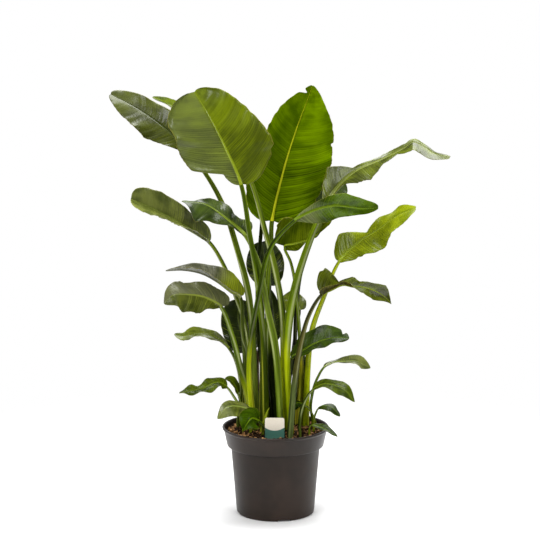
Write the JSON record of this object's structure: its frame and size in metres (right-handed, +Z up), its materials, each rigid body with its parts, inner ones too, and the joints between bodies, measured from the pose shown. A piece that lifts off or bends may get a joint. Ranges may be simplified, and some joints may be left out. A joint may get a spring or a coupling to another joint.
{
  "type": "potted bird of paradise plant",
  "caption": "Leafy bird of paradise house plant: broad ribbed leaves on long arching stalks, in a tapered dark plastic nursery pot with a blank plant tag.",
  "frame": {"origin": "middle of the pot's underside, on the surface the pot stands on", "axes": "+Z up along the pot's axis, -Y towards the front of the plant with the tag, +X to the right seen from the front"},
  "size_m": [0.739, 0.3285, 0.9696],
  "materials": {
    "pot_plastic": "satin moulded polypropylene",
    "leaf": "smooth waxy leaf, pleated between fine side veins",
    "dry_husk": "dry papery fibre",
    "tag_plastic": "matte card-like plastic",
    "potting_mix": "rough bark and peat"
  },
  "bodies": {
    "root": {"pot": "pot_plastic", "leaf_01": "leaf", "leaf_02": "leaf", "leaf_03": "leaf", "leaf_04": "leaf", "leaf_05": "leaf", "leaf_06": "leaf", "leaf_07": "leaf", "leaf_08": "leaf", "leaf_09": "leaf", "leaf_10": "leaf", "leaf_11": "leaf", "leaf_12": "leaf", "leaf_13": "leaf", "leaf_14": "leaf", "leaf_15": "leaf", "leaf_16": "leaf", "leaf_17": "leaf", "leaf_18": "leaf", "leaf_19": "leaf", "leaf_20": "leaf", "leaf_21": "leaf", "leaf_22": "leaf", "leaf_23": "leaf", "leaf_24": "leaf", "leaf_25": "leaf", "leaf_26": "leaf", "leaf_27": "leaf", "leaf_28": "leaf", "leaf_29": "leaf", "leaf_30": "leaf", "leaf_31": "leaf", "young_shoot": "leaf", "dry_sheath": "dry_husk", "plant_tag": "tag_plastic", "soil": "potting_mix"}
  },
  "joints": []
}
